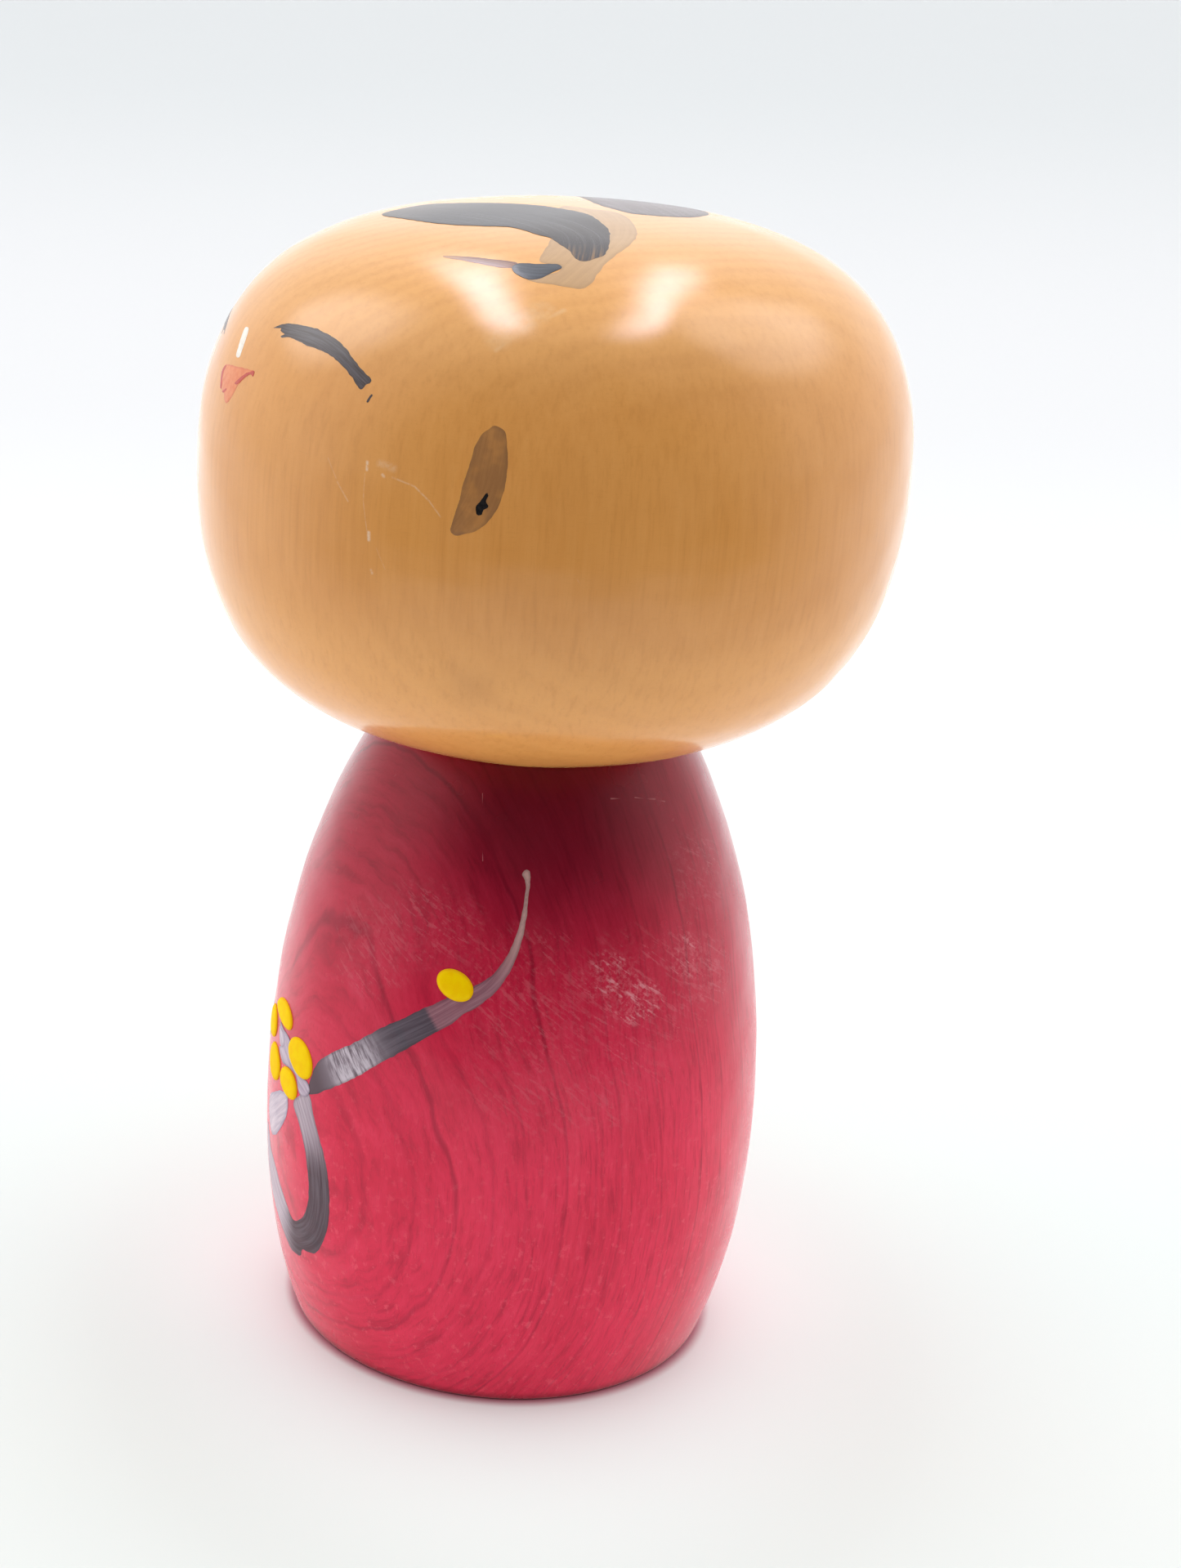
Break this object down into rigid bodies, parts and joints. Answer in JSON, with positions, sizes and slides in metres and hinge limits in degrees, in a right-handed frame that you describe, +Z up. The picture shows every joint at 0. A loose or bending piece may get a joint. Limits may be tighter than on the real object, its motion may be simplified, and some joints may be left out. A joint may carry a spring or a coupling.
{
  "type": "kokeshi doll",
  "caption": "Turned wooden kokeshi doll: broad round head that turns on a neck peg above a barrel-shaped body, with brush-painted hair, face and blossom motif.",
  "frame": {"origin": "centre of the base, on the ground", "axes": "+Z up the turning axis, the face looks along -Y, the doll's own left side is +X"},
  "size_m": [0.0886, 0.0886, 0.1514],
  "materials": {
    "head_wood": "clear gloss varnish over pale close-grained hardwood",
    "body_wood": "translucent crimson stain under satin varnish, grain visible",
    "dowel_wood": "bare turned hardwood",
    "hair_grey": "brushed grey-blue paint, slightly dry at the ends",
    "hair_wash": "thin grey-tan wash, the wood shows through",
    "hair_dark": "dark blue-grey paint",
    "hair_mauve": "thin mauve wash",
    "hair_back_grey": "thin lilac-grey paint",
    "eye_paint": "slate paint, dry-brushed ends",
    "nose_paint": "cream paint line",
    "mouth_paint": "coral wash",
    "lip_paint": "fine red line",
    "ear_paint": "translucent brown wash",
    "ear_spot_paint": "black paint",
    "ink_paint": "charcoal paint with pale dry-brush streaks, mauve towards the tips",
    "petal_paint": "thin white paint",
    "blossom_wash": "thin lavender wash",
    "dot_enamel": "raised yellow enamel dots"
  },
  "bodies": {
    "doll_body": {"body": "body_wood", "neck_dowel": "dowel_wood", "ink_stroke_left": "ink_paint", "ink_stroke_right": "ink_paint", "ink_loop": "ink_paint", "white_petals": "petal_paint", "blossom_wash": "blossom_wash", "blossom_dots": "dot_enamel"},
    "doll_head": {"head": "head_wood", "hair_fringe": "hair_grey", "hair_wash": "hair_wash", "hair_lock": "hair_dark", "hair_lock_tail": "hair_mauve", "hair_back": "hair_back_grey", "eye_left": "eye_paint", "eye_right": "eye_paint", "nose_line": "nose_paint", "mouth": "mouth_paint", "lip_lines": "lip_paint", "ear_left": "ear_paint", "ear_right": "ear_paint", "ear_spots": "ear_spot_paint"}
  },
  "joints": [
    {"name": "head_turn", "type": "hinge", "parent": "doll_body", "child": "doll_head", "pos_m": [0, 0, 0.0871], "axis": [0, 0, 1], "continuous": true}
  ]
}
